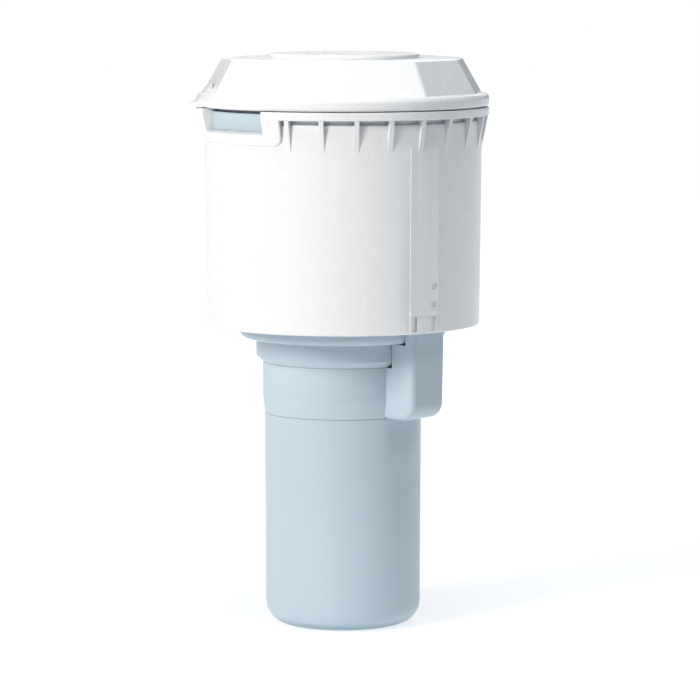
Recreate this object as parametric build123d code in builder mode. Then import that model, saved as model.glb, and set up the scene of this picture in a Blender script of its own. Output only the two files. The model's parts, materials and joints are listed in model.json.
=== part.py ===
"""A floating chlorine dispenser for 3-inch tablets, as separate pieces.

Units are millimetres and +Z is up. The origin is the centre of the canister's flat underside.
An azimuth is an angle about the axis, seen from above: 0 is the front (-Y) and 90 the right (+X).
"""

from build123d import *
import math
import os

os.makedirs("parts", exist_ok=True)

# Driving dimensions
TABLET_DIAMETER = 76.2
TABLET_CLEARANCE = 1.5
CANISTER_WALL = 2.2
RUNNING_GAP = 0.35
SEAT_GAP = 0.1
LAND_GAP = 0.3

# Heights above the canister's underside
SLEEVE_BOTTOM = 118.0
SLEEVE_TOP = 146.0
NUT_BOTTOM = 146.2
BOSS_BOTTOM = 159.5
FLOAT_BOTTOM = 167.0
BASE_LEVEL = 169.0
RIB_BOTTOM = 264.0
WALL_TOP = 279.4
FLANGE_BOTTOM = 282.0
FLANGE_TOP = 286.5
DECK_TOP = 285.0
NECK_TOP = 297.0
BEAD_TOP = 294.3
PLATEAU = 313.2

# Radii
BORE_RADIUS = TABLET_DIAMETER / 2 + TABLET_CLEARANCE
NECK_TUBE_RADIUS = BORE_RADIUS + CANISTER_WALL
CANISTER_TOP_RADIUS = 43.3
CANISTER_LOW_RADIUS = 42.7
BOSS_RADIUS = 57.0
NUT_RADIUS = 48.0
WALL_LOW_RADIUS = 75.5
WALL_HIGH_RADIUS = 76.5
RIM_RADIUS = 80.4
THROAT_INNER = 40.4
THROAT_OUTER = 42.6

# Azimuths
INDEX_AZIMUTH = 35.4
LUG_AZIMUTH = 50.0
PANEL_START = -84.0
PANEL_END = -25.0
NOTCH_START = -71.0
NOTCH_END = -33.0
TAB_AZIMUTH = -88.0
PORT_AZIMUTHS = (130.0, 180.0, 230.0)


def outward(azimuth):
    """The unit vector that points away from the axis at an azimuth."""
    turn = math.radians(azimuth - 90)
    return Vector(math.cos(turn), math.sin(turn), 0)


def sideways(azimuth):
    """The unit vector across an azimuth, towards larger azimuths."""
    return outward(azimuth + 90)


def at(azimuth, radius, height=0.0):
    """The point at an azimuth, radius and height."""
    return outward(azimuth) * radius + Vector(0, 0, height)


def radial_plane(azimuth):
    """The upright plane through the axis, its X pointing outward and its Y pointing up."""
    return Plane(origin=(0, 0, 0), x_dir=outward(azimuth), z_dir=-sideways(azimuth))


def facing_plane(azimuth, radius, lean=0.0):
    """An upright plane square to an azimuth, its X sideways and its Y up, leaning out by an angle."""
    normal = outward(azimuth) * math.cos(math.radians(lean)) - Vector(0, 0, math.sin(math.radians(lean)))
    return Plane(origin=at(azimuth, radius), x_dir=sideways(azimuth), z_dir=normal)


def outline(*points):
    """Draw a closed outline and fill it."""
    with BuildLine() as border:
        Polyline(*points, close=True)
    make_face(border.edges())


def corner(section, radius, height):
    """The corner of a radius-height outline nearest to a point."""
    return section.vertices().sort_by_distance((radius, height, 0))[:1]


def washer(inner, outer, low, high, mode=Mode.ADD):
    """Turn a plain ring between two radii and two heights."""
    with BuildSketch(Plane.XZ) as section:
        outline((inner, low), (outer, low), (outer, high), (inner, high))
    revolve(section.sketch, axis=Axis.Z, mode=mode)


def ring_seal(middle, section_radius, height, mode=Mode.ADD):
    """Turn a round-section ring."""
    with BuildSketch(Plane.XZ) as section:
        with Locations((middle, height)):
            Circle(section_radius)
    revolve(section.sketch, axis=Axis.Z, mode=mode)


def sector(start, end, points, mode=Mode.ADD):
    """Turn a radius-height outline from one azimuth to another."""
    with BuildSketch(radial_plane(start)) as section:
        outline(*points)
    revolve(section.sketch, axis=Axis.Z, revolution_arc=end - start, mode=mode)


def edges_near(builder, heights, radius_low, radius_high):
    """The circular edges of a turned part at some heights and within a band of radii."""
    return [
        edge
        for edge in builder.edges().filter_by(GeomType.CIRCLE)
        if any(abs(edge.center().Z - height) < 0.01 for height in heights)
        and radius_low < edge.radius < radius_high
    ]


def finish(builder, name):
    """Name a finished piece and write it to its own file."""
    builder.part.label = name
    export_step(builder.part, f"parts/{name}.step")


# ---------------------------------------------------------------- canister

FLOOR = 2.5
CANISTER_CORNER = 12.0
LEDGE = SLEEVE_BOTTOM - 0.15
LEDGE_ROUND = 0.4
FLANGE_RADIUS = 46.0
CANISTER_FLANGE_LOW = BOSS_BOTTOM + 3.9
CANISTER_TOP = CANISTER_FLANGE_LOW + 2.5
PORT_LOW = 123.0
PORT_HIGH = 139.0
PORT_ANGLE = 22.0
PORT_SECTION = [(38, PORT_LOW), (46, PORT_LOW), (46, PORT_HIGH), (38, PORT_HIGH)]
SEAL_SECTION = 0.8
SEAL_CIRCLE = NECK_TUBE_RADIUS - SEAL_SECTION + 0.25
SLEEVE_SEAL_HEIGHTS = (120.4, 141.6)
POST_RADIUS = 5.0
POST_TOP = 15.0
SCREW_RADIUS = 1.75
GRATE_SCREW_HOLE = 9.0
DRAIN_RADIUS = 2.5
DRAIN_CIRCLE = 15.0
DRAIN_COUNT = 8
THREAD_DEPTH = 0.9
THREAD_ROOT_HALF = 1.1
THREAD_CREST_HALF = 0.3
THREAD_PLAY = 0.15
THREAD_HEIGHTS = (149.0, 152.5, 156.0)

with BuildPart() as canister:
    with BuildSketch(Plane.XZ) as section:
        outline(
            (0, 0),
            (CANISTER_LOW_RADIUS, 0),
            (CANISTER_TOP_RADIUS, LEDGE),
            (NECK_TUBE_RADIUS, LEDGE),
            (NECK_TUBE_RADIUS, CANISTER_FLANGE_LOW),
            (FLANGE_RADIUS, CANISTER_FLANGE_LOW),
            (FLANGE_RADIUS, CANISTER_TOP),
            (BORE_RADIUS, CANISTER_TOP),
            (BORE_RADIUS, FLOOR),
            (0, FLOOR),
        )
        fillet(corner(section, CANISTER_LOW_RADIUS, 0), CANISTER_CORNER)
        fillet(corner(section, BORE_RADIUS, FLOOR), CANISTER_CORNER - FLOOR)
        fillet(corner(section, CANISTER_TOP_RADIUS, LEDGE), LEDGE_ROUND)
        for height in THREAD_HEIGHTS:
            outline(
                (NECK_TUBE_RADIUS - 0.2, height - THREAD_ROOT_HALF),
                (NECK_TUBE_RADIUS + THREAD_DEPTH, height - THREAD_CREST_HALF),
                (NECK_TUBE_RADIUS + THREAD_DEPTH, height + THREAD_CREST_HALF),
                (NECK_TUBE_RADIUS - 0.2, height + THREAD_ROOT_HALF),
            )
    revolve(axis=Axis.Z)
    # The post that carries the grate, with its screw hole
    with BuildSketch(Plane.XY.offset(FLOOR - 0.5)):
        Circle(POST_RADIUS)
    extrude(amount=POST_TOP - FLOOR + 0.5)
    with BuildSketch(Plane.XY.offset(POST_TOP)):
        Circle(SCREW_RADIUS + 0.1)
    extrude(amount=-GRATE_SCREW_HOLE, mode=Mode.SUBTRACT)
    # Feed ports on the hidden side, and drains in the floor
    for azimuth in PORT_AZIMUTHS:
        sector(azimuth - PORT_ANGLE / 2, azimuth + PORT_ANGLE / 2, PORT_SECTION, mode=Mode.SUBTRACT)
    with BuildSketch(Plane.XY):
        with PolarLocations(DRAIN_CIRCLE, DRAIN_COUNT):
            Circle(DRAIN_RADIUS)
    extrude(amount=FLOOR, mode=Mode.SUBTRACT)
    for height in SLEEVE_SEAL_HEIGHTS:
        ring_seal(SEAL_CIRCLE, SEAL_SECTION + 0.02, height, Mode.SUBTRACT)
finish(canister, "canister")

with BuildPart() as sleeve_seals:
    for height in SLEEVE_SEAL_HEIGHTS:
        ring_seal(SEAL_CIRCLE, SEAL_SECTION, height)
finish(sleeve_seals, "sleeve_seals")

# ---------------------------------------------------------------- ballast and grate

BALLAST_INNER = 22.0
BALLAST_OUTER = 32.0
BALLAST_LOW = 2.6
BALLAST_HIGH = 12.0

with BuildPart() as ballast_ring:
    washer(BALLAST_INNER, BALLAST_OUTER, BALLAST_LOW, BALLAST_HIGH)
    chamfer(ballast_ring.edges(), 0.8)
finish(ballast_ring, "ballast_ring")

GRATE_RADIUS = 38.6
GRATE_LOW = POST_TOP + 0.05
GRATE_HIGH = 18.0
GRATE_BAR = 3.0
GRATE_BAR_COUNT = 8
GRATE_HUB_RADIUS = 7.0
GRATE_MIDDLE_RADIUS = 22.0
GRATE_BAR_LENGTH = GRATE_RADIUS - GRATE_HUB_RADIUS + 1.4
GRATE_ROUND = 0.8
HOLD_DOWN_LENGTH = 6.0
HOLD_DOWN_COUNT = 4

with BuildPart() as tablet_grate:
    washer(GRATE_RADIUS - GRATE_BAR, GRATE_RADIUS, GRATE_LOW, GRATE_HIGH)
    washer(SCREW_RADIUS + 0.15, GRATE_HUB_RADIUS, GRATE_LOW, GRATE_HIGH)
    washer(GRATE_MIDDLE_RADIUS - GRATE_BAR / 2, GRATE_MIDDLE_RADIUS + GRATE_BAR / 2, GRATE_LOW, GRATE_HIGH)
    with BuildSketch(Plane.XY.offset(GRATE_LOW)):
        with PolarLocations((GRATE_RADIUS + GRATE_HUB_RADIUS) / 2 - 1.2, GRATE_BAR_COUNT):
            Rectangle(GRATE_BAR_LENGTH, GRATE_BAR)
    extrude(amount=GRATE_HIGH - GRATE_LOW)
    # Feet that hold the ballast ring down
    with BuildSketch(Plane.XY.offset(BALLAST_HIGH + 0.05)):
        with PolarLocations((BALLAST_INNER + BALLAST_OUTER) / 2, HOLD_DOWN_COUNT):
            Rectangle(HOLD_DOWN_LENGTH, GRATE_BAR)
    extrude(amount=POST_TOP - BALLAST_HIGH)
    fillet(edges_near(tablet_grate, [GRATE_HIGH], GRATE_RADIUS - 0.5, GRATE_RADIUS + 0.5), GRATE_ROUND)
finish(tablet_grate, "tablet_grate")


def pan_screw(location, length, head_radius=3.6, head_height=2.2, shank_radius=SCREW_RADIUS):
    """Add a pan-head screw whose head stands at the location and whose shank points along -Z."""
    with BuildSketch(location) as head:
        Circle(head_radius)
    extrude(head.sketch, amount=head_height)
    with BuildSketch(location) as shank:
        Circle(shank_radius)
    extrude(shank.sketch, amount=-length)
    with BuildSketch(location.offset(head_height)) as cross:
        Rectangle(head_radius * 1.2, 0.8)
        Rectangle(0.8, head_radius * 1.2)
    extrude(cross.sketch, amount=-1.2, mode=Mode.SUBTRACT)


with BuildPart() as grate_screw:
    pan_screw(Plane.XY.offset(GRATE_HIGH + 0.05), 10)
finish(grate_screw, "grate_screw")

# ---------------------------------------------------------------- adjuster sleeve with its lug

SLEEVE_INNER = NECK_TUBE_RADIUS + RUNNING_GAP
SLEEVE_OUTER = 44.4
SLEEVE_FOOT_RADIUS = 43.4
SLEEVE_TAPER_TOP = 128.0
LUG_FACE = 62.0
LUG_DRAFT = 1.2
LUG_ROOT = 40.0
LUG_HALF_WIDTH = 13.75
LUG_BOTTOM = 117.5
LUG_SHOULDER = BOSS_BOTTOM - 0.5
LUG_TOP = FLOAT_BOTTOM - 1.2
LUG_WALL = 3.4
LUG_POCKET_BACK = NUT_RADIUS + 2.6
LUG_CORNER = 3.3
LUG_FOOT_ROUND = 9.0

with BuildPart() as lug_block:
    with BuildSketch(radial_plane(LUG_AZIMUTH)) as section:
        outline(
            (LUG_ROOT, LUG_BOTTOM),
            (LUG_FACE - LUG_DRAFT, LUG_BOTTOM),
            (LUG_FACE, LUG_TOP),
            (LUG_ROOT, LUG_TOP),
        )
        fillet(corner(section, LUG_FACE - LUG_DRAFT, LUG_BOTTOM), LUG_FOOT_ROUND)
    extrude(amount=LUG_HALF_WIDTH, both=True)
    lug_flanks = lug_block.faces().sort_by(Axis((0, 0, 0), sideways(LUG_AZIMUTH)))
    lug_borders = [edge for flank in (lug_flanks[0], lug_flanks[-1]) for edge in flank.edges()]
    lug_inner = at(LUG_AZIMUTH, LUG_ROOT)
    rounded = [
        edge
        for edge in lug_borders
        if edge.center().Z < LUG_TOP - 0.1 and (edge.center() - lug_inner).dot(outward(LUG_AZIMUTH)) > 0.1
    ]
    fillet(rounded, LUG_CORNER)

with BuildPart() as adjuster_sleeve:
    with BuildSketch(Plane.XZ):
        outline(
            (SLEEVE_INNER, SLEEVE_BOTTOM),
            (SLEEVE_FOOT_RADIUS, SLEEVE_BOTTOM),
            (SLEEVE_OUTER, SLEEVE_TAPER_TOP),
            (SLEEVE_OUTER, SLEEVE_TOP),
            (SLEEVE_INNER, SLEEVE_TOP),
        )
    revolve(axis=Axis.Z)
    # The lug: a rounded box that stands out below the float
    add(lug_block.part)
    # Room for the canister, the nut and the float's boss as it turns
    washer(0, SLEEVE_INNER, LUG_BOTTOM - 1, LUG_TOP + 1, Mode.SUBTRACT)
    washer(0, CANISTER_TOP_RADIUS + RUNNING_GAP, LUG_BOTTOM - 1, SLEEVE_BOTTOM, Mode.SUBTRACT)
    washer(0, NUT_RADIUS + RUNNING_GAP, SLEEVE_TOP, LUG_TOP + 1, Mode.SUBTRACT)
    washer(0, BOSS_RADIUS + RUNNING_GAP, LUG_SHOULDER, LUG_TOP + 1, Mode.SUBTRACT)
    # The lug is hollow and open at its top, behind the pointer
    with BuildSketch(facing_plane(LUG_AZIMUTH, LUG_FACE - LUG_WALL)):
        with Locations((0, (LUG_BOTTOM + LUG_WALL + LUG_TOP) / 2)):
            Rectangle(2 * (LUG_HALF_WIDTH - LUG_WALL), LUG_TOP - LUG_BOTTOM - LUG_WALL)
    extrude(amount=-(LUG_FACE - LUG_WALL - LUG_POCKET_BACK), mode=Mode.SUBTRACT)
    for azimuth in PORT_AZIMUTHS:
        sector(azimuth - PORT_ANGLE / 2, azimuth + PORT_ANGLE / 2, PORT_SECTION, mode=Mode.SUBTRACT)
finish(adjuster_sleeve, "adjuster_sleeve")

# ---------------------------------------------------------------- lock nut and float base

NUT_TOP = BOSS_BOTTOM - SEAT_GAP
NUT_CHAMFER = 3.4
NUT_ROUND = 0.5

with BuildPart() as lock_nut:
    washer(NECK_TUBE_RADIUS + THREAD_PLAY, NUT_RADIUS, NUT_BOTTOM, NUT_TOP)
    chamfer(edges_near(lock_nut, [NUT_BOTTOM], NUT_RADIUS - 0.5, NUT_RADIUS + 0.5), NUT_CHAMFER)
    fillet(edges_near(lock_nut, [NUT_TOP], NUT_RADIUS - 0.5, NUT_RADIUS + 0.5), NUT_ROUND)
    for height in THREAD_HEIGHTS:
        with BuildSketch(Plane.XZ):
            outline(
                (NECK_TUBE_RADIUS, height - THREAD_ROOT_HALF - THREAD_PLAY),
                (NECK_TUBE_RADIUS + THREAD_DEPTH + THREAD_PLAY, height - THREAD_CREST_HALF - THREAD_PLAY),
                (NECK_TUBE_RADIUS + THREAD_DEPTH + THREAD_PLAY, height + THREAD_CREST_HALF + THREAD_PLAY),
                (NECK_TUBE_RADIUS, height + THREAD_ROOT_HALF + THREAD_PLAY),
            )
        revolve(axis=Axis.Z, mode=Mode.SUBTRACT)
finish(lock_nut, "lock_nut")

BASE_PLATE = 2.6
BASE_RADIUS = WALL_LOW_RADIUS - 2.2
BOSS_FLOOR = BOSS_BOTTOM + BASE_PLATE
SOCKET_INNER = 49.2
SOCKET_OUTER = 51.4
SOCKET_TOP = BOSS_BOTTOM + 9.0
BOSS_ROUND = 3.6
BASE_BORE = NECK_TUBE_RADIUS + 0.3
BASE_SCREW_CIRCLE = 67.0
BASE_SCREW_COUNT = 6
BASE_SCREW_FIRST = 120.0
FOAM_PLUG_AZIMUTH = 150.0
FOAM_PLUG_RADIUS = 5.0
FOAM_PLUG_CIRCLE = 64.5
FOAM_PLUG_HEAD = 1.0
FOAM_PLUG_LIP = 1.8

with BuildPart() as float_base:
    with BuildSketch(Plane.XZ) as section:
        outline(
            (BASE_BORE, BOSS_BOTTOM),
            (BOSS_RADIUS, BOSS_BOTTOM),
            (BOSS_RADIUS, BASE_LEVEL),
            (BASE_RADIUS, BASE_LEVEL),
            (BASE_RADIUS, BASE_LEVEL + BASE_PLATE),
            (BOSS_RADIUS - BASE_PLATE, BASE_LEVEL + BASE_PLATE),
            (BOSS_RADIUS - BASE_PLATE, BOSS_FLOOR),
            (SOCKET_OUTER, BOSS_FLOOR),
            (SOCKET_OUTER, SOCKET_TOP),
            (SOCKET_INNER, SOCKET_TOP),
            (SOCKET_INNER, BOSS_FLOOR),
            (BASE_BORE, BOSS_FLOOR),
        )
        fillet(corner(section, BOSS_RADIUS, BOSS_BOTTOM), BOSS_ROUND)
        fillet(corner(section, BOSS_RADIUS, BASE_LEVEL), 1.0)
    revolve(axis=Axis.Z)
    with BuildSketch(Plane.XY.offset(BASE_LEVEL)):
        with PolarLocations(BASE_SCREW_CIRCLE, BASE_SCREW_COUNT, start_angle=30):
            Circle(SCREW_RADIUS + 0.25)
        with Locations(at(FOAM_PLUG_AZIMUTH, FOAM_PLUG_CIRCLE)):
            Circle(FOAM_PLUG_RADIUS)
    extrude(amount=BASE_PLATE, mode=Mode.SUBTRACT)
finish(float_base, "float_base")

with BuildPart() as foam_plug:
    with BuildSketch(Plane.XY.offset(BASE_LEVEL - FOAM_PLUG_HEAD)):
        with Locations(at(FOAM_PLUG_AZIMUTH, FOAM_PLUG_CIRCLE)):
            Circle(FOAM_PLUG_RADIUS + FOAM_PLUG_LIP)
    extrude(amount=FOAM_PLUG_HEAD - 0.02)
    with BuildSketch(Plane.XY.offset(BASE_LEVEL - FOAM_PLUG_HEAD)):
        with Locations(at(FOAM_PLUG_AZIMUTH, FOAM_PLUG_CIRCLE)):
            Circle(FOAM_PLUG_RADIUS - 0.05)
    extrude(amount=FOAM_PLUG_HEAD + BASE_PLATE + 1.4)
finish(foam_plug, "foam_plug")

with BuildPart() as base_screws:
    for index in range(BASE_SCREW_COUNT):
        spot = at(BASE_SCREW_FIRST + index * 360 / BASE_SCREW_COUNT, BASE_SCREW_CIRCLE, BASE_LEVEL - 0.02)
        pan_screw(Plane(origin=spot, x_dir=(1, 0, 0), z_dir=(0, 0, -1)), 12, 3.4, 1.8)
finish(base_screws, "base_screws")

with BuildPart() as canister_gasket:
    washer(NECK_TUBE_RADIUS + 0.6, FLANGE_RADIUS, BOSS_FLOOR + 0.02, CANISTER_FLANGE_LOW - 0.02)
finish(canister_gasket, "canister_gasket")

# ---------------------------------------------------------------- float shell

WALL_LEAN = math.degrees(math.atan((WALL_HIGH_RADIUS - WALL_LOW_RADIUS) / (WALL_TOP - FLOAT_BOTTOM)))
GROOVE_RADIUS = 74.9
SHELL_MOUTH = 72.3
CAVITY_TOP = 276.0
LEDGE_LOW = 279.0
LEDGE_INNER = 69.5
RIB_COUNT = 26
RIB_FIRST = 5.5
RIB_THICKNESS = 2.5
RIB_ROOT = 74.5
PANEL_BOTTOM = 268.0
PANEL_RADIUS = RIM_RADIUS - 0.25
PANEL_FOOT_RADIUS = 77.1
PANEL_INNER = 74.3
PANEL_CORNER = 5.0
PANEL_EDGE_ROUND = 0.8
NOTCH_BOTTOM = 273.5
NOTCH_RADIUS = 75.4
NOTCH_BACK = 73.0
NOTCH_LIP = FLANGE_BOTTOM + 0.9
TONGUE_FRONT = 74.7
TONGUE_LOW = NOTCH_BOTTOM + 1.7
INDEX_WIDTH = 18.4
LAND_RADIUS = 73.85
LAND_DEPTH = 2.2
LAND_BOTTOM = FLOAT_BOTTOM + 1.0
LAND_TOP = 267.0
LIP_HEIGHT = 178.0
LIP_WIDTH = 2.4
LIP_STEP = 0.5
MARK_HEIGHTS = (182.7, 192.3)
MARK_WIDTH = 3.0
MARK_DEPTH = 0.6
BASE_SCREW_SEAT = BASE_LEVEL + BASE_PLATE + 0.05
SCREW_BOSS_RADIUS = 3.6
SCREW_BOSS_HEIGHT = 15.0
WEB_LIFT = 2.4
WEB_LENGTH = 7.0
WEB_THICKNESS = 2.4


def lower_corners(builder, height):
    """The two short radial edges at the lower corners of a raised panel."""
    return [edge for edge in builder.edges().filter_by(GeomType.LINE) if abs(edge.center().Z - height) < 0.01]


def lower_rim(builder, height):
    """The outer edge along the foot of a raised panel."""
    arcs = builder.edges().filter_by(GeomType.CIRCLE)
    level = [edge for edge in arcs if abs(edge.center().Z - height) < 0.01]
    return sorted(level, key=lambda edge: edge.radius)[-1:]


def rib_azimuths():
    """The azimuths of the gusset ribs, which leave the thumb panel clear."""
    every = [RIB_FIRST + 360 / RIB_COUNT * index for index in range(RIB_COUNT)]
    centred = [(azimuth + 180) % 360 - 180 for azimuth in every]
    return [azimuth for azimuth in centred if not PANEL_START - 3 < azimuth < PANEL_END + 1]


with BuildPart() as thumb_panel:
    sector(
        PANEL_START,
        PANEL_END,
        [
            (PANEL_INNER, PANEL_BOTTOM),
            (PANEL_FOOT_RADIUS, PANEL_BOTTOM),
            (PANEL_RADIUS, FLANGE_BOTTOM),
            (PANEL_RADIUS, FLANGE_BOTTOM + 1.5),
            (PANEL_INNER, FLANGE_BOTTOM + 1.5),
        ],
    )
    fillet(lower_corners(thumb_panel, PANEL_BOTTOM), PANEL_CORNER)
    fillet(lower_rim(thumb_panel, PANEL_BOTTOM), PANEL_EDGE_ROUND)

with BuildPart() as float_shell:
    with BuildSketch(Plane.XZ) as section:
        outline(
            (BASE_RADIUS + 0.1, FLOAT_BOTTOM),
            (WALL_LOW_RADIUS, FLOAT_BOTTOM),
            (WALL_HIGH_RADIUS, WALL_TOP),
            (GROOVE_RADIUS, WALL_TOP + 0.8),
            (GROOVE_RADIUS, FLANGE_BOTTOM),
            (RIM_RADIUS, FLANGE_BOTTOM),
            (RIM_RADIUS, FLANGE_TOP),
            (SHELL_MOUTH, FLANGE_TOP),
            (SHELL_MOUTH, FLANGE_BOTTOM),
            (LEDGE_INNER, FLANGE_BOTTOM),
            (LEDGE_INNER, LEDGE_LOW),
            (SHELL_MOUTH, CAVITY_TOP),
            (BASE_RADIUS - 0.4, BASE_LEVEL + BASE_PLATE + 2),
            (BASE_RADIUS + 0.1, BASE_LEVEL + BASE_PLATE),
        )
        fillet(corner(section, WALL_LOW_RADIUS, FLOAT_BOTTOM), 1.0)
        fillet(corner(section, WALL_HIGH_RADIUS, WALL_TOP), 0.5)
        fillet(corner(section, RIM_RADIUS, FLANGE_TOP), 0.8)
        fillet(corner(section, RIM_RADIUS, FLANGE_BOTTOM), 0.6)
    revolve(axis=Axis.Z)
    # Gusset ribs that carry the flange
    for azimuth in rib_azimuths():
        with BuildSketch(radial_plane(azimuth)):
            outline(
                (RIB_ROOT, RIB_BOTTOM - 4),
                (WALL_HIGH_RADIUS - 0.3, RIB_BOTTOM),
                (RIM_RADIUS - 0.5, FLANGE_BOTTOM + 0.4),
                (RIB_ROOT, FLANGE_BOTTOM + 0.4),
            )
        extrude(amount=RIB_THICKNESS / 2, both=True)
    # The thumb panel, and the notch in it under the lid's rim
    add(thumb_panel.part)
    sector(
        NOTCH_START,
        NOTCH_END,
        [
            (RIM_RADIUS + 3, NOTCH_BOTTOM - 1.5),
            (RIM_RADIUS + 3, FLANGE_TOP + 2),
            (SHELL_MOUTH - 0.3, FLANGE_TOP + 2),
            (SHELL_MOUTH - 0.3, NOTCH_LIP),
            (NOTCH_BACK, NOTCH_LIP),
            (NOTCH_BACK, NOTCH_BOTTOM + 1.6),
            (NOTCH_RADIUS, NOTCH_BOTTOM + 1.6),
        ],
        mode=Mode.SUBTRACT,
    )
    # The index land: a flat upright strip, with a lip, a recess and two marks at its foot
    land_plane = facing_plane(INDEX_AZIMUTH, LAND_RADIUS, WALL_LEAN)
    with BuildSketch(land_plane):
        with Locations((0, (LAND_BOTTOM + LAND_TOP) / 2)):
            Rectangle(INDEX_WIDTH, LAND_TOP - LAND_BOTTOM)
    extrude(amount=-LAND_DEPTH)
    with BuildSketch(land_plane):
        with Locations((0, LIP_HEIGHT)):
            Rectangle(INDEX_WIDTH, LIP_WIDTH)
    extrude(amount=LIP_STEP)
    with BuildSketch(land_plane):
        with Locations((0, (LAND_BOTTOM + LIP_HEIGHT) / 2 - 0.6)):
            Rectangle(INDEX_WIDTH - 3, LIP_HEIGHT - LAND_BOTTOM - LIP_WIDTH)
        for height in MARK_HEIGHTS:
            with Locations((INDEX_WIDTH / 4, height)):
                Rectangle(INDEX_WIDTH / 2 - 1.5, MARK_WIDTH)
    extrude(amount=-MARK_DEPTH, mode=Mode.SUBTRACT)
    # Bosses inside the wall for the base screws
    for index in range(BASE_SCREW_COUNT):
        azimuth = BASE_SCREW_FIRST + index * 360 / BASE_SCREW_COUNT
        with BuildSketch(Plane.XY.offset(BASE_SCREW_SEAT)):
            with Locations(at(azimuth, BASE_SCREW_CIRCLE)):
                Circle(SCREW_BOSS_RADIUS)
        extrude(amount=SCREW_BOSS_HEIGHT)
        with BuildSketch(Plane.XY.offset(BASE_SCREW_SEAT + WEB_LIFT)):
            with Locations(Location(at(azimuth, BASE_SCREW_CIRCLE + 4), azimuth - 90)):
                Rectangle(WEB_LENGTH, WEB_THICKNESS)
        extrude(amount=SCREW_BOSS_HEIGHT - WEB_LIFT)
        with BuildSketch(Plane.XY.offset(BASE_SCREW_SEAT)):
            with Locations(at(azimuth, BASE_SCREW_CIRCLE)):
                Circle(SCREW_RADIUS + 0.05)
        extrude(amount=SCREW_BOSS_HEIGHT - 2, mode=Mode.SUBTRACT)
finish(float_shell, "float_shell")

# ---------------------------------------------------------------- throat, deck and what seals them

BELL_INNER = FLANGE_RADIUS + 0.35
BELL_OUTER = SOCKET_INNER - 0.2
BELL_STEP = CANISTER_TOP + 1.6
BELL_CONE = 5.0
DECK_LOW = 283.0
THROAT_TOP = DECK_LOW - 0.2
COLLAR_LOW = 270.0
COLLAR_INNER = THROAT_OUTER + 0.3
COLLAR_OUTER = 45.2
NECK_INNER = 66.4
NECK_OUTER = 69.0
NECK_BEAD = 69.6
NECK_BEAD_LOW = 293.0
NECK_BEAD_HIGH = 295.0
LID_TURN = 36.0
PIP_AZIMUTHS = [TAB_AZIMUTH + 60 + 120 * index for index in range(3)]
PIP_HALF_ANGLE = 7.0
SMALL_SEAL_SECTION = 0.75
THROAT_SEAL_SECTION = 1.15
FLANGE_SEAL_CIRCLE = 43.6
THROAT_SEAL_CIRCLE = 43.9

with BuildPart() as throat_tube:
    with BuildSketch(Plane.XZ):
        outline(
            (BELL_INNER, BOSS_FLOOR + 0.1),
            (BELL_OUTER, BOSS_FLOOR + 0.1),
            (BELL_OUTER, BELL_STEP + 1.2),
            (THROAT_OUTER, BELL_STEP + BELL_CONE),
            (THROAT_OUTER, THROAT_TOP),
            (THROAT_INNER, THROAT_TOP),
            (THROAT_INNER, BELL_STEP),
            (BELL_INNER, BELL_STEP),
        )
    revolve(axis=Axis.Z)
finish(throat_tube, "throat_tube")

with BuildPart() as flange_seal:
    ring_seal(FLANGE_SEAL_CIRCLE, SMALL_SEAL_SECTION, CANISTER_TOP + 0.8)
finish(flange_seal, "flange_seal")

with BuildPart() as throat_seal:
    ring_seal(THROAT_SEAL_CIRCLE, THROAT_SEAL_SECTION, COLLAR_LOW - 1.2)
finish(throat_seal, "throat_seal")

with BuildPart() as base_seal:
    ring_seal(BASE_RADIUS - 1.15, SMALL_SEAL_SECTION, BASE_LEVEL + BASE_PLATE + 0.8)
finish(base_seal, "base_seal")

with BuildPart() as deck_gasket:
    washer(LEDGE_INNER + 0.2, SHELL_MOUTH - 0.2, FLANGE_BOTTOM + 0.02, DECK_LOW - 0.02)
finish(deck_gasket, "deck_gasket")

with BuildPart() as deck:
    with BuildSketch(Plane.XZ) as section:
        outline(
            (COLLAR_INNER, COLLAR_LOW),
            (COLLAR_OUTER, COLLAR_LOW),
            (COLLAR_OUTER, DECK_LOW),
            (SHELL_MOUTH - 0.1, DECK_LOW),
            (SHELL_MOUTH - 0.1, DECK_TOP),
            (NECK_OUTER, DECK_TOP),
            (NECK_OUTER, NECK_BEAD_LOW),
            (NECK_BEAD, NECK_BEAD_LOW + 0.5),
            (NECK_BEAD, NECK_BEAD_HIGH - 0.5),
            (NECK_OUTER, NECK_BEAD_HIGH),
            (NECK_OUTER, NECK_TOP),
            (NECK_INNER, NECK_TOP),
            (NECK_INNER, DECK_TOP),
            (THROAT_INNER, DECK_TOP),
            (THROAT_INNER, DECK_LOW),
            (COLLAR_INNER, DECK_LOW),
        )
        fillet(corner(section, THROAT_INNER, DECK_TOP), 1.2)
        fillet(corner(section, NECK_INNER, DECK_TOP), 2.0)
    revolve(axis=Axis.Z)
    # The tongue that lines the back of the shell's thumb notch
    sector(
        NOTCH_START + 0.15,
        NOTCH_END - 0.15,
        [
            (NOTCH_BACK + 0.1, TONGUE_LOW),
            (TONGUE_FRONT, TONGUE_LOW),
            (TONGUE_FRONT, DECK_TOP),
            (SHELL_MOUTH - 0.4, DECK_TOP),
            (SHELL_MOUTH - 0.4, DECK_LOW),
            (NOTCH_BACK + 0.1, DECK_LOW),
        ],
    )
    # Gaps in the snap bead, where the lid's pips pass once the lid is lined up
    for azimuth in PIP_AZIMUTHS:
        sector(
            azimuth + LID_TURN - PIP_HALF_ANGLE - 2,
            azimuth + LID_TURN + PIP_HALF_ANGLE + 2,
            [
                (NECK_OUTER, NECK_BEAD_LOW - 0.5),
                (NECK_OUTER + 2, NECK_BEAD_LOW - 0.5),
                (NECK_OUTER + 2, NECK_BEAD_HIGH + 0.5),
                (NECK_OUTER, NECK_BEAD_HIGH + 0.5),
            ],
            mode=Mode.SUBTRACT,
        )
finish(deck, "deck")

# ---------------------------------------------------------------- buoyancy foam

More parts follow.
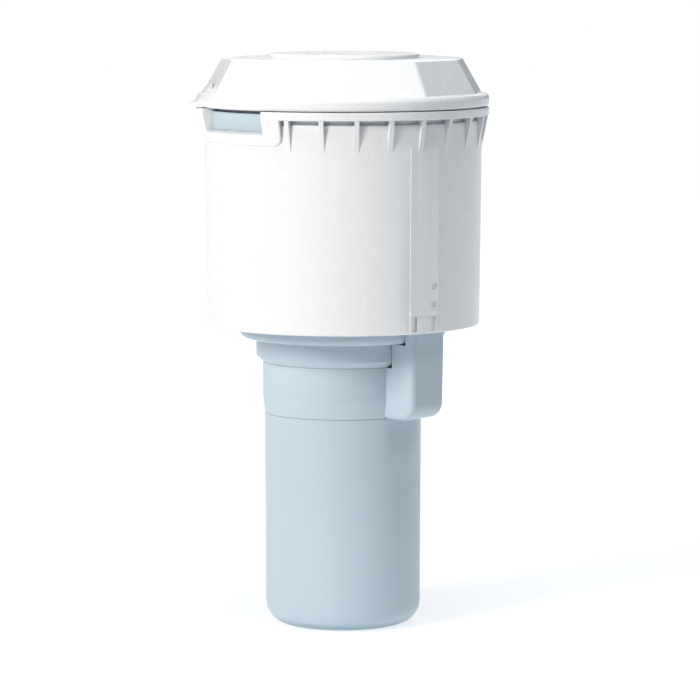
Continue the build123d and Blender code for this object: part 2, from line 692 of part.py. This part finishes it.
FOAM_INNER = 45.6
FOAM_OUTER = 72.0
FOAM_LOW = 174.0
FOAM_HIGH = 275.0


def foam_half(start, end):
    """Turn half of the foam ring and relieve it around the screw bosses."""
    sector(
        start + 0.5,
        end - 0.5,
        [(FOAM_INNER, FOAM_LOW), (FOAM_OUTER, FOAM_LOW), (FOAM_OUTER, FOAM_HIGH), (FOAM_INNER, FOAM_HIGH)],
    )
    for index in range(BASE_SCREW_COUNT):
        azimuth = BASE_SCREW_FIRST + index * 360 / BASE_SCREW_COUNT
        with BuildSketch(Plane.XY.offset(FOAM_LOW - 1)) as relief:
            with Locations(Location(at(azimuth, BASE_SCREW_CIRCLE + 3), azimuth - 90)):
                Rectangle(16, 2 * SCREW_BOSS_RADIUS + 2)
        extrude(relief.sketch, amount=SCREW_BOSS_HEIGHT, mode=Mode.SUBTRACT)


with BuildPart() as foam_front:
    foam_half(-90, 90)
finish(foam_front, "foam_front")

with BuildPart() as foam_rear:
    foam_half(90, 270)
finish(foam_rear, "foam_rear")

# ---------------------------------------------------------------- lid

LID_GAP = 0.3
LID_BOTTOM = FLANGE_TOP + LID_GAP
FACET_COUNT = 11
FACET_PHASE = 10.6
FACET_ROUND = 4.0
FRUSTUM_LOW = 290.0
FRUSTUM_HIGH = 312.5
FRUSTUM_LOW_RADIUS = 80.2
FRUSTUM_HIGH_RADIUS = 67.3
PLATEAU_RADIUS = 64.2
LID_WALL = 2.5
LID_ROOF = PLATEAU - LID_WALL
SKIRT_INNER = 70.2
SKIRT_OUTER = 72.4
SKIRT_LOW = 289.0
HOLLOW_RADIUS = 74.0
HOLLOW_TOP = 291.0
SKIRT_ROOT = 293.4
SKIRT_SHOULDER = 297.6
ROOF_RADIUS = 63.0
PIP_REACH = 0.3
PIP_LOW = 290.2
PIP_HIGH = 292.6
PIP_CREST_LOW = 291.0
PIP_CREST_HIGH = 291.8
TAB_TIP_RADIUS = 86.0
TAB_TIP_TOP = 288.4
TAB_ROOT = 73.5
TAB_RISE = 300.0
TAB_SWEEP_RADIUS = 80.6
TAB_SWEEP_HEIGHT = 290.6
TAB_CREST_RADIUS = 77.8
TAB_CREST_HEIGHT = 294.4
TAB_HALF_ANGLE = 14.0
TAB_FLANK_ANGLE = 13.0
TAB_FLANK_RADIUS = 79.5
TAB_TIP_ANGLE = 5.0
DOG_HALF_ANGLE = 6.0
DOG_AZIMUTHS = (TAB_AZIMUTH, TAB_AZIMUTH + 120, TAB_AZIMUTH + 240)
DOG_INNER = 70.4
DOG_OUTER = 71.8
DOG_LOW = 288.0
DOG_TOP = 290.6
DOG_SLOT_INNER = 69.0
DOG_SLOT_OUTER = 73.0
LID_SCREW_CIRCLE = 52.0
LID_SCREW_COUNT = 4
LID_POST_RADIUS = 4.2
PLATE_LOW = 298.4
PLATE_HIGH = 300.4
PLATE_RADIUS = 68.2
PLATE_HOLE_RADIUS = 3.0
PLUG_INNER = 63.6
PLUG_OUTER = 65.7
PLUG_LOW = 290.0
DISC_RADIUS = 42.0
DISC_TOP = 315.6
PEG_CIRCLE = 30.0
PEG_RADIUS = 2.0
PEG_COUNT = 3
VENT_CIRCLE = 6.0
VENT_RADIUS = 1.1
VENT_COUNT = 6
CHANNEL_AZIMUTHS = (160.0, 180.0, 200.0)
CHANNEL_WIDTH = 2.0
CHANNEL_DEPTH = 0.9
STEM_RADIUS = 2.2


def facet_section(height, radius):
    """Draw the lid's many-sided outline with eased corners."""
    with BuildSketch(Plane.XY.offset(height)) as section:
        RegularPolygon(radius, FACET_COUNT, rotation=FACET_PHASE)
        fillet(section.vertices(), FACET_ROUND)
    return section.sketch


with BuildPart() as lid_tab:
    with BuildSketch(radial_plane(TAB_AZIMUTH - TAB_HALF_ANGLE)) as section:
        with BuildLine() as border:
            Polyline((TAB_ROOT, TAB_RISE), (TAB_ROOT, LID_BOTTOM), (TAB_TIP_RADIUS - 0.4, LID_BOTTOM))
            Line((TAB_TIP_RADIUS - 0.4, LID_BOTTOM), (TAB_TIP_RADIUS, LID_BOTTOM + 0.5))
            Line((TAB_TIP_RADIUS, LID_BOTTOM + 0.5), (TAB_TIP_RADIUS, TAB_TIP_TOP))
            ThreePointArc(
                (TAB_TIP_RADIUS, TAB_TIP_TOP),
                (TAB_SWEEP_RADIUS, TAB_SWEEP_HEIGHT),
                (TAB_CREST_RADIUS, TAB_CREST_HEIGHT),
            )
            Line((TAB_CREST_RADIUS, TAB_CREST_HEIGHT), (TAB_ROOT, TAB_RISE))
        make_face(border.edges())
    revolve(section.sketch, axis=Axis.Z, revolution_arc=2 * TAB_HALF_ANGLE)
    with BuildSketch(Plane.XY.offset(LID_BOTTOM - 1)) as wedge:
        with BuildLine() as border:
            Polyline(
                at(TAB_AZIMUTH - TAB_FLANK_ANGLE, TAB_ROOT - 0.5),
                at(TAB_AZIMUTH - TAB_FLANK_ANGLE, TAB_FLANK_RADIUS),
                at(TAB_AZIMUTH - TAB_TIP_ANGLE, TAB_TIP_RADIUS + 1),
                at(TAB_AZIMUTH + TAB_TIP_ANGLE, TAB_TIP_RADIUS + 1),
                at(TAB_AZIMUTH + TAB_FLANK_ANGLE, TAB_FLANK_RADIUS),
                at(TAB_AZIMUTH + TAB_FLANK_ANGLE, TAB_ROOT - 0.5),
                close=True,
            )
        make_face(border.edges())
    extrude(wedge.sketch, amount=15, mode=Mode.INTERSECT)

with BuildPart() as lid_shell:
    loft([facet_section(FRUSTUM_LOW, FRUSTUM_LOW_RADIUS), facet_section(FRUSTUM_HIGH, FRUSTUM_HIGH_RADIUS)])
    loft([facet_section(FRUSTUM_HIGH, FRUSTUM_HIGH_RADIUS), facet_section(PLATEAU, PLATEAU_RADIUS)])
    # The rounded bead round the rim
    with BuildSketch(Plane.XZ) as section:
        outline((0, LID_BOTTOM), (RIM_RADIUS, LID_BOTTOM), (RIM_RADIUS, BEAD_TOP), (0, BEAD_TOP))
        fillet(corner(section, RIM_RADIUS, BEAD_TOP), 3.2)
        fillet(corner(section, RIM_RADIUS, LID_BOTTOM), 2.0)
    revolve(axis=Axis.Z)
    add(lid_tab.part)
    # The hollow, with the skirt left standing in it
    with BuildSketch(Plane.XZ):
        outline(
            (0, LID_BOTTOM - 1),
            (HOLLOW_RADIUS, LID_BOTTOM - 1),
            (HOLLOW_RADIUS, HOLLOW_TOP),
            (SKIRT_OUTER, SKIRT_ROOT),
            (SKIRT_OUTER, SKIRT_LOW),
            (SKIRT_INNER, SKIRT_LOW),
            (SKIRT_INNER, SKIRT_SHOULDER),
            (ROOF_RADIUS, LID_ROOF),
            (0, LID_ROOF),
        )
    revolve(axis=Axis.Z, mode=Mode.SUBTRACT)
    for azimuth in PIP_AZIMUTHS:
        sector(
            azimuth - PIP_HALF_ANGLE,
            azimuth + PIP_HALF_ANGLE,
            [
                (SKIRT_INNER + 0.5, PIP_LOW),
                (SKIRT_INNER + 0.5, PIP_HIGH),
                (SKIRT_INNER - PIP_REACH, PIP_CREST_HIGH),
                (SKIRT_INNER - PIP_REACH, PIP_CREST_LOW),
            ],
        )
    for azimuth in DOG_AZIMUTHS:
        sector(
            azimuth - DOG_HALF_ANGLE - 1,
            azimuth + DOG_HALF_ANGLE + 1,
            [
                (DOG_SLOT_INNER, DOG_LOW),
                (DOG_SLOT_OUTER, DOG_LOW),
                (DOG_SLOT_OUTER, DOG_TOP + 0.4),
                (DOG_SLOT_INNER, DOG_TOP + 0.4),
            ],
            mode=Mode.SUBTRACT,
        )
    # Posts for the inner plate's screws
    with BuildSketch(Plane.XY.offset(PLATE_HIGH + 0.05)):
        with PolarLocations(LID_SCREW_CIRCLE, LID_SCREW_COUNT, start_angle=45):
            Circle(LID_POST_RADIUS)
    extrude(amount=LID_ROOF - PLATE_HIGH)
    with BuildSketch(Plane.XY.offset(PLATE_HIGH)):
        with PolarLocations(LID_SCREW_CIRCLE, LID_SCREW_COUNT, start_angle=45):
            Circle(SCREW_RADIUS + 0.05)
    extrude(amount=9, mode=Mode.SUBTRACT)
    # Holes for the disc's pegs, the valve's stem and the vents
    with BuildSketch(Plane.XY.offset(PLATEAU + 1)):
        Circle(STEM_RADIUS + 0.1)
        with PolarLocations(PEG_CIRCLE, PEG_COUNT):
            Circle(PEG_RADIUS + 0.15)
        with PolarLocations(VENT_CIRCLE, VENT_COUNT):
            Circle(VENT_RADIUS)
    extrude(amount=-(LID_WALL + 2), mode=Mode.SUBTRACT)
finish(lid_shell, "lid_shell")

with BuildPart() as lid_disc:
    with BuildSketch(Plane.XZ) as section:
        outline(
            (0, PLATEAU + 1.7),
            (VENT_CIRCLE + 5, PLATEAU + 1.7),
            (VENT_CIRCLE + 5, PLATEAU + 0.05),
            (DISC_RADIUS, PLATEAU + 0.05),
            (DISC_RADIUS, DISC_TOP),
            (0, DISC_TOP),
        )
        fillet(corner(section, DISC_RADIUS, DISC_TOP), 1.2)
    revolve(axis=Axis.Z)
    # Channels that let gas out under the rim
    with BuildSketch(Plane.XY.offset(PLATEAU + 0.05)):
        for azimuth in CHANNEL_AZIMUTHS:
            with Locations(Location(at(azimuth, DISC_RADIUS / 2 + 5), azimuth - 90)):
                Rectangle(DISC_RADIUS - 9, CHANNEL_WIDTH)
    extrude(amount=CHANNEL_DEPTH, mode=Mode.SUBTRACT)
    with BuildSketch(Plane.XY.offset(PLATEAU + 0.5)):
        with PolarLocations(PEG_CIRCLE, PEG_COUNT):
            Circle(PEG_RADIUS)
    extrude(amount=-6.5)
finish(lid_disc, "lid_disc")

with BuildPart() as vent_valve:
    washer(0, VENT_CIRCLE + 3, PLATEAU + 0.05, PLATEAU + 1.3)
    washer(0, STEM_RADIUS, LID_ROOF - 2.4, PLATEAU + 0.5)
    with BuildSketch(Plane.XZ):
        outline((0, LID_ROOF - 3.6), (STEM_RADIUS, LID_ROOF - 3.0), (3.1, LID_ROOF - 0.2), (0, LID_ROOF - 0.2))
    revolve(axis=Axis.Z)
finish(vent_valve, "vent_valve")

with BuildPart() as lid_plate:
    washer(0, PLATE_RADIUS, PLATE_LOW, PLATE_HIGH)
    washer(PLUG_INNER, PLUG_OUTER, PLUG_LOW, PLATE_LOW + 0.5)
    with BuildSketch(Plane.XY.offset(PLATE_LOW - 1)):
        Circle(PLATE_HOLE_RADIUS)
        with PolarLocations(LID_SCREW_CIRCLE, LID_SCREW_COUNT, start_angle=45):
            Circle(SCREW_RADIUS + 0.25)
    extrude(amount=PLATE_HIGH - PLATE_LOW + 2, mode=Mode.SUBTRACT)
finish(lid_plate, "lid_plate")

with BuildPart() as lid_gasket:
    washer(NECK_INNER + 0.2, PLATE_RADIUS, NECK_TOP + SEAT_GAP, PLATE_LOW - 0.02)
finish(lid_gasket, "lid_gasket")

with BuildPart() as lid_screws:
    for index in range(LID_SCREW_COUNT):
        spot = at(135 + index * 360 / LID_SCREW_COUNT, LID_SCREW_CIRCLE, PLATE_LOW - 0.02)
        pan_screw(Plane(origin=spot, x_dir=(1, 0, 0), z_dir=(0, 0, -1)), 9)
finish(lid_screws, "lid_screws")

with BuildPart() as drive_ring:
    washer(NECK_OUTER + LAND_GAP, SHELL_MOUTH - LAND_GAP, DECK_TOP + SEAT_GAP, SKIRT_LOW - 0.2)
    for azimuth in DOG_AZIMUTHS:
        sector(
            azimuth - DOG_HALF_ANGLE,
            azimuth + DOG_HALF_ANGLE,
            [(DOG_INNER, DOG_LOW), (DOG_OUTER, DOG_LOW), (DOG_OUTER, DOG_TOP), (DOG_INNER, DOG_TOP)],
        )
finish(drive_ring, "drive_ring")
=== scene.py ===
import json
import math

import bpy
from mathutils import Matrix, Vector


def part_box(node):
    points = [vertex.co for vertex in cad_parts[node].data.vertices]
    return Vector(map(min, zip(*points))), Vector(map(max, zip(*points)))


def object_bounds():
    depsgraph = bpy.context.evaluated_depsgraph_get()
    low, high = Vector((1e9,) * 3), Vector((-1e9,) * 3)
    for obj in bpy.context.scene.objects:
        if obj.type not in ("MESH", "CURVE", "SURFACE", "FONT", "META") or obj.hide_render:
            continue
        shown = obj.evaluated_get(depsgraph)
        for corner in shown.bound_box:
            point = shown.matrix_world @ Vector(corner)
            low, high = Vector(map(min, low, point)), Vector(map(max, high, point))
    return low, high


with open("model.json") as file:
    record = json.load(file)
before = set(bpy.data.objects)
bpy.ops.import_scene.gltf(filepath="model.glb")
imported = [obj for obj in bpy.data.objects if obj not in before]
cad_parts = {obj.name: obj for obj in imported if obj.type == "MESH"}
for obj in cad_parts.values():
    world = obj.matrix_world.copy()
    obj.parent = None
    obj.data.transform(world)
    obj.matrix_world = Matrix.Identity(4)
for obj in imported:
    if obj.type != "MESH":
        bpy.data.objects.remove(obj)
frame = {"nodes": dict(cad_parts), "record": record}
cad_low, cad_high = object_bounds()

# The camera: how far in front of the axis, how far above the float's rim and to the right, and its tilt
VIEW_DISTANCE = 2.072
VIEW_ABOVE_RIM = 0.0942
VIEW_SIDE = 0.0039
VIEW_TILT = 6.31
LENS = 193.6
SENSOR = 36.0


# ------------------------------------------------------------------ shader nodes

class Tree:
    """A material's node tree, with short calls that add a node and link it."""

    def __init__(self, name):
        self.material = bpy.data.materials.new(name)
        self.material.use_nodes = True
        self.tree = self.material.node_tree
        self.tree.nodes.clear()
        self.place = self.add("ShaderNodeTexCoord").outputs["Object"]

    def add(self, kind, settings=None, **inputs):
        """Add a node, set its properties, and set or link its inputs by name."""
        made = self.tree.nodes.new(kind)
        for key, value in (settings or {}).items():
            setattr(made, key, value)
        for key, value in inputs.items():
            self.feed(made.inputs[key.replace("_", " ")], value)
        return made

    def feed(self, socket, value):
        if isinstance(value, bpy.types.NodeSocket):
            self.tree.links.new(value, socket)
        else:
            socket.default_value = value

    def noise(self, scale, detail=3.0, rough=0.5, where=None):
        """Noise over the object's own space; the scale is in cycles per metre."""
        return self.add("ShaderNodeTexNoise", Vector=where or self.place, Scale=scale, Detail=detail,
                        Roughness=rough).outputs["Fac"]

    def stretched(self, x, y, z):
        """The object's own space with each axis scaled."""
        mapping = self.add("ShaderNodeMapping", Vector=self.place)
        mapping.inputs["Scale"].default_value = (x, y, z)
        return mapping.outputs[0]

    def spread(self, value, low, high, to_low=0.0, to_high=1.0):
        """Map a value from one range to another, clamped."""
        mapped = self.add("ShaderNodeMapRange", Value=value, From_Min=low, From_Max=high, To_Min=to_low,
                          To_Max=to_high)
        return mapped.outputs["Result"]

    def mix(self, factor, first, second, blend="MIX"):
        """Mix two colours."""
        made = self.tree.nodes.new("ShaderNodeMix")
        made.data_type = "RGBA"
        made.blend_type = blend
        self.feed(made.inputs[0], factor)
        self.feed(made.inputs[6], first)
        self.feed(made.inputs[7], second)
        return made.outputs[2]

    def math(self, operation, first, second):
        made = self.add("ShaderNodeMath", {"operation": operation})
        self.feed(made.inputs[0], first)
        self.feed(made.inputs[1], second)
        return made.outputs[0]

    def edges(self, width):
        """Nearly 1 along sharp convex edges and 0 elsewhere."""
        bevel = self.add("ShaderNodeBevel", {"samples": 4}, Radius=width)
        smooth = self.add("ShaderNodeNewGeometry").outputs["Normal"]
        dot = self.add("ShaderNodeVectorMath", {"operation": "DOT_PRODUCT"})
        self.feed(dot.inputs[0], bevel.outputs[0])
        self.feed(dot.inputs[1], smooth)
        return self.spread(dot.outputs["Value"], 0.995, 0.90)

    def recess(self, reach):
        """1 deep in corners and recesses, 0 on open faces; the mask for the painted shade."""
        hidden = self.add("ShaderNodeAmbientOcclusion", {"samples": 8}, Distance=reach)
        return self.spread(hidden.outputs["AO"], PAINTED_SHADE_OPEN, PAINTED_SHADE_DEEP)

    def bump(self, height, strength, distance):
        made = self.add("ShaderNodeBump", Strength=strength, Distance=distance, Height=height)
        return made.outputs[0]

    def finish(self, colour, roughness, normal, **fixed):
        """The principled shader and the output; the fixed values go on its own sockets."""
        shader = self.add("ShaderNodeBsdfPrincipled", Base_Color=colour, Roughness=roughness, Normal=normal)
        for key, value in fixed.items():
            shader.inputs[key.replace("_", " ")].default_value = value
        output = self.add("ShaderNodeOutputMaterial")
        self.tree.links.new(shader.outputs[0], output.inputs["Surface"])
        return self.material


def rgb(red, green, blue):
    return (red, green, blue, 1.0)


# ------------------------------------------------------------------ materials

# Painted shade in recesses: how far the ambient-occlusion mask reaches, and the AO values taken as open and
# as deep
PAINTED_SHADE_REACH = 0.009
PAINTED_SHADE_OPEN = 0.55
PAINTED_SHADE_DEEP = 0.15
WORN_EDGE = 0.0008
PEEL_DEPTH = 0.00008


def moulded(name, colour, shade, painted_shade, gloss, ripple=0.15, **fixed):
    """Injection-moulded plastic: faint flow clouding, a fine orange peel, scuffs, and painted shade in the
    recesses.
    """
    t = Tree(name)
    cloud = t.math("ADD", t.noise(9, 2, 0.4), t.noise(1, 2, 0.4, t.stretched(30, 30, 8)))
    tint = t.mix(t.spread(cloud, 0.5, 1.5), colour, shade)
    speck = t.spread(t.noise(900, 2), 0.74, 0.82)
    tint = t.mix(t.math("MULTIPLY", speck, 0.10), tint, rgb(0.45, 0.43, 0.38))
    patchy = t.spread(t.noise(120, 3), 0.2, 0.8, 0.75, 1.0)
    # Painted shade: corners and recesses are tinted, in patches, towards a darker shade colour
    tint = t.mix(t.math("MULTIPLY", t.recess(PAINTED_SHADE_REACH), patchy), tint, painted_shade)
    scuff = t.spread(t.noise(1, 3, 0.5, t.stretched(160, 160, 30)), 0.55, 0.8)
    rough = t.spread(t.noise(30, 2), 0.2, 0.8, gloss - 0.02, gloss + 0.04)
    rough = t.math("ADD", rough, t.math("MULTIPLY", scuff, 0.03))
    rough = t.math("ADD", rough, t.math("MULTIPLY", t.edges(WORN_EDGE), 0.10))
    normal = t.bump(t.noise(420, 2), ripple, PEEL_DEPTH)
    return t.finish(tint, rough, normal, **fixed)


def float_white():
    """Glossy white shell plastic."""
    # The third colour, a dark blue-grey, is the painted shade laid into corners and recesses
    return moulded("white_shell", rgb(0.825, 0.83, 0.835), rgb(0.785, 0.80, 0.815), rgb(0.44, 0.49, 0.54),
                   0.26, Specular_IOR_Level=0.5, IOR=1.35)


def inner_white():
    """Satin white plastic of the pieces inside."""
    # The third colour, a darker grey, is the painted shade laid into corners and recesses
    return moulded("white_inner", rgb(0.68, 0.69, 0.70), rgb(0.63, 0.65, 0.66), rgb(0.42, 0.44, 0.46), 0.38,
                   Specular_IOR_Level=0.45)


def canister_blue():
    """Satin grey-blue plastic, a little cloudy and slightly translucent."""
    # The third colour, a dark blue, is the painted shade laid into corners and recesses
    return moulded("pale_blue", rgb(0.50, 0.605, 0.672), rgb(0.468, 0.577, 0.649), rgb(0.22, 0.33, 0.40),
                   0.36, 0.3, Specular_IOR_Level=0.42, Subsurface_Weight=0.12,
                   Subsurface_Radius=(0.004, 0.006, 0.008), Subsurface_Scale=0.5)


def ring_grey():
    """Matt grey acetal of the slip ring, with turning lines."""
    t = Tree("slip_ring")
    lines = t.noise(1, 2, 0.5, t.stretched(12, 12, 2600))
    tint = t.mix(t.spread(t.noise(30, 3), 0.35, 0.7), rgb(0.50, 0.53, 0.56), rgb(0.43, 0.46, 0.50))
    rough = t.spread(lines, 0.3, 0.7, 0.42, 0.6)
    return t.finish(tint, rough, t.bump(lines, 0.3, 0.0001))


def closed_foam():
    """Closed-cell foam: small round cells and a yellowed tint in patches."""
    t = Tree("foam")
    cells = t.add("ShaderNodeTexVoronoi", {"feature": "DISTANCE_TO_EDGE"}, Vector=t.place, Scale=650.0)
    wall = t.spread(cells.outputs["Distance"], 0.0, 0.12, 1.0, 0.0)
    tint = t.mix(t.spread(t.noise(22, 4), 0.3, 0.75), rgb(0.80, 0.79, 0.72), rgb(0.74, 0.71, 0.60))
    tint = t.mix(t.math("MULTIPLY", wall, 0.4), tint, rgb(0.88, 0.87, 0.82))
    rough = t.spread(t.noise(80, 3), 0.3, 0.7, 0.8, 0.95)
    return t.finish(tint, rough, t.bump(wall, 0.5, 0.0003))


def seal_rubber():
    """Black moulded rubber with a powdery bloom."""
    t = Tree("seal")
    bloom = t.spread(t.noise(70, 5, 0.65), 0.45, 0.75)
    tint = t.mix(t.math("MULTIPLY", bloom, 0.5), rgb(0.018, 0.018, 0.019), rgb(0.065, 0.066, 0.068))
    rough = t.spread(bloom, 0.0, 1.0, 0.5, 0.75)
    return t.finish(tint, rough, t.bump(t.noise(1500, 2), 0.2, 0.00008))


def bright_steel():
    """Stainless steel of the screws, with fine turning marks and water stains."""
    t = Tree("stainless")
    marks = t.noise(1, 3, 0.6, t.stretched(1400, 1400, 5000))
    stain = t.spread(t.noise(260, 4), 0.52, 0.7)
    tint = t.mix(t.math("MULTIPLY", stain, 0.4), rgb(0.62, 0.62, 0.61), rgb(0.42, 0.39, 0.35))
    rough = t.spread(marks, 0.3, 0.7, 0.2, 0.4)
    return t.finish(tint, rough, t.bump(marks, 0.2, 0.00006), Metallic=1.0)


def coated_iron():
    """Dark dipped coating over a rough casting."""
    t = Tree("coated_iron")
    grain = t.noise(420, 4, 0.6)
    rust = t.spread(t.noise(60, 5, 0.7), 0.62, 0.74)
    tint = t.mix(t.spread(grain, 0.3, 0.7), rgb(0.022, 0.026, 0.030), rgb(0.045, 0.050, 0.056))
    tint = t.mix(t.math("MULTIPLY", rust, 0.7), tint, rgb(0.16, 0.06, 0.025))
    rough = t.spread(grain, 0.3, 0.7, 0.38, 0.6)
    return t.finish(tint, rough, t.bump(grain, 0.5, 0.0003))


MATERIALS = {
    "white_shell": float_white(),
    "white_inner": inner_white(),
    "pale_blue": canister_blue(),
    "slip_ring": ring_grey(),
    "foam": closed_foam(),
    "seal": seal_rubber(),
    "stainless": bright_steel(),
    "coated_iron": coated_iron(),
}
for part in frame["record"]["subparts"]:
    mesh = frame["nodes"][part["node"]].data
    mesh.materials.clear()
    mesh.materials.append(MATERIALS[part["material_slot"]])


# ------------------------------------------------------------------ stage

def area_light(name, azimuth, elevation, distance, size, power, colour=(1, 1, 1)):
    """A soft box that looks at the object's middle; azimuth 0 is the front and 90 the right."""
    turn = math.radians(azimuth - 90)
    rise = math.radians(elevation)
    direction = Vector((math.cos(turn) * math.cos(rise), math.sin(turn) * math.cos(rise), math.sin(rise)))
    data = bpy.data.lights.new(name, "AREA")
    data.shape = "RECTANGLE"
    data.size, data.size_y = size
    data.energy = power
    data.color = colour
    light = bpy.data.objects.new(name, data)
    bpy.context.scene.collection.objects.link(light)
    light.location = (cad_low + cad_high) / 2 + direction * distance
    light.rotation_euler = (-direction).to_track_quat("-Z", "Y").to_euler()


# The floor, in metres, and how brightly it glows: near and far from the object, in front of it and beside it
FLOOR_HALF = 30.0
GLOW_NEAR = 0.72
GLOW_FAR = 1.0
GLOW_FRONT = 0.08
GLOW_RIGHT = 0.5
NEAR_TO_FAR = (0.2, 1.7)
FRONT_TO_BACK = (-0.75, -0.3)
MIDDLE_TO_RIGHT = (0.24, 0.7)
RIGHT_ENDS = (-0.1, 0.5)
floor_mesh = bpy.data.meshes.new("floor")
floor_mesh.from_pydata(
    [(-FLOOR_HALF, -FLOOR_HALF, 0), (FLOOR_HALF, -FLOOR_HALF, 0), (FLOOR_HALF, FLOOR_HALF, 0),
     (-FLOOR_HALF, FLOOR_HALF, 0)], [], [(0, 1, 2, 3)])
floor = bpy.data.objects.new("floor", floor_mesh)
bpy.context.scene.collection.objects.link(floor)


def light_table():
    """A pale floor that glows under and behind the object, and less in front of it and to its right."""
    t = Tree("light_table")
    tint = t.mix(t.spread(t.noise(3, 2), 0.3, 0.7), rgb(0.42, 0.42, 0.42), rgb(0.40, 0.40, 0.40))
    reach = t.add("ShaderNodeVectorMath", {"operation": "LENGTH"}, Vector=t.place)
    across = t.add("ShaderNodeSeparateXYZ", Vector=t.place)
    glow = t.spread(reach.outputs["Value"], *NEAR_TO_FAR, GLOW_NEAR, GLOW_FAR)
    glow = t.math("MULTIPLY", glow, t.spread(across.outputs["Y"], *FRONT_TO_BACK, GLOW_FRONT, 1.0))
    beside = t.spread(across.outputs["X"], *MIDDLE_TO_RIGHT, 1.0, GLOW_RIGHT)
    behind = t.spread(across.outputs["Y"], *RIGHT_ENDS, GLOW_RIGHT, 1.0)
    glow = t.math("MULTIPLY", glow, t.math("MAXIMUM", beside, behind))
    rough = t.spread(t.noise(20, 2), 0.3, 0.7, 0.85, 0.95)
    made = t.finish(tint, rough, t.bump(t.noise(400, 2), 0.05, 0.0002),
                    Emission_Color=rgb(0.98, 1.0, 1.03), Specular_IOR_Level=0.1)
    shader = next(n for n in t.tree.nodes if n.type == "BSDF_PRINCIPLED")
    t.feed(shader.inputs["Emission Strength"], glow)
    return made


floor_mesh.materials.append(light_table())

area_light("key", -45, 28, 1.6, (0.5, 0.5), 19, (1.03, 1.0, 0.96))
area_light("front_fill", 45, 50, 1.6, (0.25, 0.3), 3.2)
area_light("side_fill", 75, 35, 1.6, (0.8, 0.8), 1.6, (0.68, 1.0, 1.28))
area_light("top", 10, 80, 1.5, (0.7, 0.7), 11)
area_light("rear_fill", 175, 30, 2.2, (1.4, 1.4), 9)

WORLD_STRENGTH = 0.05
world = bpy.data.worlds.new("studio")
bpy.context.scene.world = world
world.use_nodes = True
backdrop = world.node_tree.nodes["Background"]
backdrop.inputs["Color"].default_value = rgb(0.88, 1.0, 1.12)
backdrop.inputs["Strength"].default_value = WORLD_STRENGTH
bpy.context.scene.view_settings.view_transform = "Standard"

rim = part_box("float_shell")[1].z
camera_data = bpy.data.cameras.new("camera")
camera_data.lens = LENS
camera_data.sensor_width = SENSOR
camera = bpy.data.objects.new("camera", camera_data)
bpy.context.scene.collection.objects.link(camera)
camera.location = (VIEW_SIDE, -VIEW_DISTANCE, rim + VIEW_ABOVE_RIM)
camera.rotation_euler = (math.radians(90 - VIEW_TILT), 0, 0)
bpy.context.scene.camera = camera
